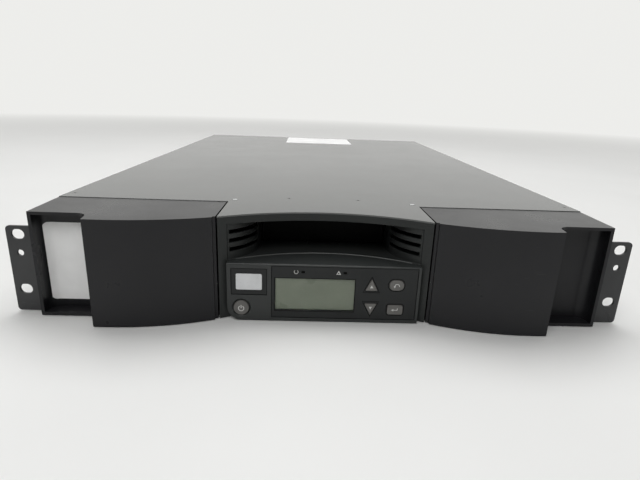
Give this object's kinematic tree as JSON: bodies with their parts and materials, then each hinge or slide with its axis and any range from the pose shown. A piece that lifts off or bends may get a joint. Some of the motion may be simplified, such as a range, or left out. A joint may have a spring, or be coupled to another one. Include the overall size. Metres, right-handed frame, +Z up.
{
  "type": "rack-mounted tape library",
  "caption": "Two-unit rack tape library with slide-out cartridge magazines, an operator panel, a mail slot, a turning picker and a tape drive.",
  "frame": {"origin": "middle of the footprint, on the underside of the base pan", "axes": "+X to the right seen from the front, +Y from the front to the back, +Z up"},
  "size_m": [0.4824, 0.7426, 0.0837],
  "materials": {
    "cover_paint": "fine-textured charcoal powder coat",
    "zinc_steel": "zinc-plated sheet",
    "ear_paint": "dark grey powder coat",
    "black_screw": "black oxide",
    "bright_rivet": "satin",
    "bezel_plastic": "fine spark-eroded texture",
    "panel_plastic": "fine texture",
    "overlay_film": "satin printed film",
    "display_glass": "clear window",
    "display_film": "grey-green liquid crystal",
    "light_lens": "unlit tinted lens",
    "badge_metal": "satin",
    "key_plastic": "moulded",
    "board": "solder mask",
    "black_plastic": "moulded",
    "magazine_plastic": "moulded",
    "lid_plastic": "smoked",
    "carrier_plastic": "moulded",
    "cartridge_plastic": "moulded",
    "belt_rubber": "toothed belt",
    "gear_plastic": "moulded acetal",
    "motor_metal": "satin can",
    "picker_metal": "machined",
    "drive_metal": "stamped",
    "port_metal": "nickel"
  },
  "bodies": {
    "chassis": {"base_pan": "zinc_steel", "top_cover": "cover_paint", "cover_screws": "black_screw", "cover_rivets": "bright_rivet", "left_rack_ear": "ear_paint", "right_rack_ear": "ear_paint", "ear_screws": "black_screw", "centre_bezel": "bezel_plastic", "panel_housing": "panel_plastic", "panel_overlay": "overlay_film", "display_window": "display_glass", "display_module": "display_film", "status_lights": "light_lens", "badge_plate": "badge_metal", "panel_board": "board", "flap_pin": "port_metal", "left_bay_wall": "zinc_steel", "right_bay_wall": "zinc_steel", "magazine_runners": "carrier_plastic", "magazine_motors": "motor_metal", "picker_base": "picker_metal", "turn_motor": "motor_metal", "tape_drive": "drive_metal", "drive_sled": "zinc_steel", "drive_ports": "port_metal", "power_supply": "zinc_steel", "power_inlet": "black_plastic", "controller_card": "zinc_steel", "rear_ports": "port_metal"},
    "power_button": {"power_button": "key_plastic"},
    "up_button": {"up_button": "key_plastic"},
    "down_button": {"down_button": "key_plastic"},
    "cancel_button": {"cancel_button": "key_plastic"},
    "enter_button": {"enter_button": "key_plastic"},
    "mail_slot_flap": {"mail_slot_flap": "black_plastic"},
    "picker_turntable": {"picker_turntable": "picker_metal"},
    "turn_pinion": {"turn_pinion": "gear_plastic"},
    "gripper": {"gripper": "picker_metal"},
    "sled_fan_rotor": {"sled_fan_rotor": "black_plastic"},
    "supply_fan_rotor": {"supply_fan_rotor": "black_plastic"},
    "left_magazine": {"left_bezel": "bezel_plastic", "left_magazine_frame": "magazine_plastic", "left_magazine_lid": "lid_plastic", "left_carriers": "carrier_plastic", "left_cartridges": "cartridge_plastic", "left_belt": "belt_rubber"},
    "left_front_pulley": {"left_front_pulley": "gear_plastic"},
    "left_rear_pulley": {"left_rear_pulley": "gear_plastic"},
    "left_idler_gear": {"left_idler_gear": "gear_plastic"},
    "left_drive_gear": {"left_drive_gear": "gear_plastic"},
    "right_magazine": {"right_bezel": "bezel_plastic", "right_magazine_frame": "magazine_plastic", "right_magazine_lid": "lid_plastic", "right_carriers": "carrier_plastic", "right_cartridges": "cartridge_plastic", "right_belt": "belt_rubber"},
    "right_front_pulley": {"right_front_pulley": "gear_plastic"},
    "right_rear_pulley": {"right_rear_pulley": "gear_plastic"},
    "right_idler_gear": {"right_idler_gear": "gear_plastic"},
    "right_drive_gear": {"right_drive_gear": "gear_plastic"}
  },
  "joints": [
    {"name": "power_press", "type": "slide", "parent": "chassis", "child": "power_button", "axis": [0, 1, 0], "range_m": [0, 0.0008], "stiffness_N_per_m": 500},
    {"name": "up_press", "type": "slide", "parent": "chassis", "child": "up_button", "axis": [0, 1, 0], "range_m": [0, 0.0008], "stiffness_N_per_m": 500},
    {"name": "down_press", "type": "slide", "parent": "chassis", "child": "down_button", "axis": [0, 1, 0], "range_m": [0, 0.0008], "stiffness_N_per_m": 500},
    {"name": "cancel_press", "type": "slide", "parent": "chassis", "child": "cancel_button", "axis": [0, 1, 0], "range_m": [0, 0.0008], "stiffness_N_per_m": 500},
    {"name": "enter_press", "type": "slide", "parent": "chassis", "child": "enter_button", "axis": [0, 1, 0], "range_m": [0, 0.0008], "stiffness_N_per_m": 500},
    {"name": "flap_swing", "type": "hinge", "parent": "chassis", "child": "mail_slot_flap", "pos_m": [0, -0.29289, 0.0735], "axis": [1, 0, 0], "range_deg": [0, 75], "stiffness_Nm_per_rad": 0.03},
    {"name": "picker_turn", "type": "hinge", "parent": "chassis", "child": "picker_turntable", "pos_m": [0, -0.18868, 0.044], "axis": [0, 0, 1], "range_deg": [-180, 180]},
    {"name": "pinion_spin", "type": "hinge", "parent": "chassis", "child": "turn_pinion", "pos_m": [0.04525, -0.14343, 0.04], "axis": [0, 0, 1], "range_deg": [-540, 540]},
    {"name": "gripper_reach", "type": "slide", "parent": "picker_turntable", "child": "gripper", "axis": [0, 1, 0], "range_m": [0, 0.09]},
    {"name": "left_magazine_slide", "type": "slide", "parent": "chassis", "child": "left_magazine", "axis": [0, -1, 0], "range_m": [0, 0.52]},
    {"name": "left_rear_pulley_spin", "type": "hinge", "parent": "left_magazine", "child": "left_rear_pulley", "pos_m": [-0.092, 0.19848, 0.0416], "axis": [1, 0, 0], "continuous": true},
    {"name": "left_front_pulley_spin", "type": "hinge", "parent": "left_magazine", "child": "left_front_pulley", "pos_m": [-0.092, -0.21585, 0.0416], "axis": [1, 0, 0], "continuous": true},
    {"name": "left_idler_spin", "type": "hinge", "parent": "left_magazine", "child": "left_idler_gear", "pos_m": [-0.092, 0.24649, 0.0416], "axis": [1, 0, 0], "continuous": true},
    {"name": "left_drive_gear_spin", "type": "hinge", "parent": "chassis", "child": "left_drive_gear", "pos_m": [-0.092, 0.28648, 0.0416], "axis": [1, 0, 0], "continuous": true},
    {"name": "right_magazine_slide", "type": "slide", "parent": "chassis", "child": "right_magazine", "axis": [0, -1, 0], "range_m": [0, 0.52]},
    {"name": "right_rear_pulley_spin", "type": "hinge", "parent": "right_magazine", "child": "right_rear_pulley", "pos_m": [0.092, 0.19848, 0.0416], "axis": [1, 0, 0], "continuous": true},
    {"name": "right_front_pulley_spin", "type": "hinge", "parent": "right_magazine", "child": "right_front_pulley", "pos_m": [0.092, -0.21585, 0.0416], "axis": [1, 0, 0], "continuous": true},
    {"name": "right_idler_spin", "type": "hinge", "parent": "right_magazine", "child": "right_idler_gear", "pos_m": [0.092, 0.24649, 0.0416], "axis": [1, 0, 0], "continuous": true},
    {"name": "right_drive_gear_spin", "type": "hinge", "parent": "chassis", "child": "right_drive_gear", "pos_m": [0.092, 0.28648, 0.0416], "axis": [1, 0, 0], "continuous": true},
    {"name": "sled_fan_spin", "type": "hinge", "parent": "chassis", "child": "sled_fan_rotor", "pos_m": [-0.038, 0.35131, 0.042], "axis": [0, 1, 0], "continuous": true},
    {"name": "supply_fan_spin", "type": "hinge", "parent": "chassis", "child": "supply_fan_rotor", "pos_m": [-0.1274, 0.35131, 0.042], "axis": [0, 1, 0], "continuous": true}
  ],
  "couplings": [
    {"joint": "pinion_spin", "follows": "picker_turn", "ratio": -3},
    {"joint": "left_front_pulley_spin", "follows": "left_rear_pulley_spin", "ratio": 1},
    {"joint": "left_idler_spin", "follows": "left_rear_pulley_spin", "ratio": -1},
    {"joint": "left_drive_gear_spin", "follows": "left_rear_pulley_spin", "ratio": 1.5},
    {"joint": "right_front_pulley_spin", "follows": "right_rear_pulley_spin", "ratio": 1},
    {"joint": "right_idler_spin", "follows": "right_rear_pulley_spin", "ratio": -1},
    {"joint": "right_drive_gear_spin", "follows": "right_rear_pulley_spin", "ratio": 1.5}
  ]
}
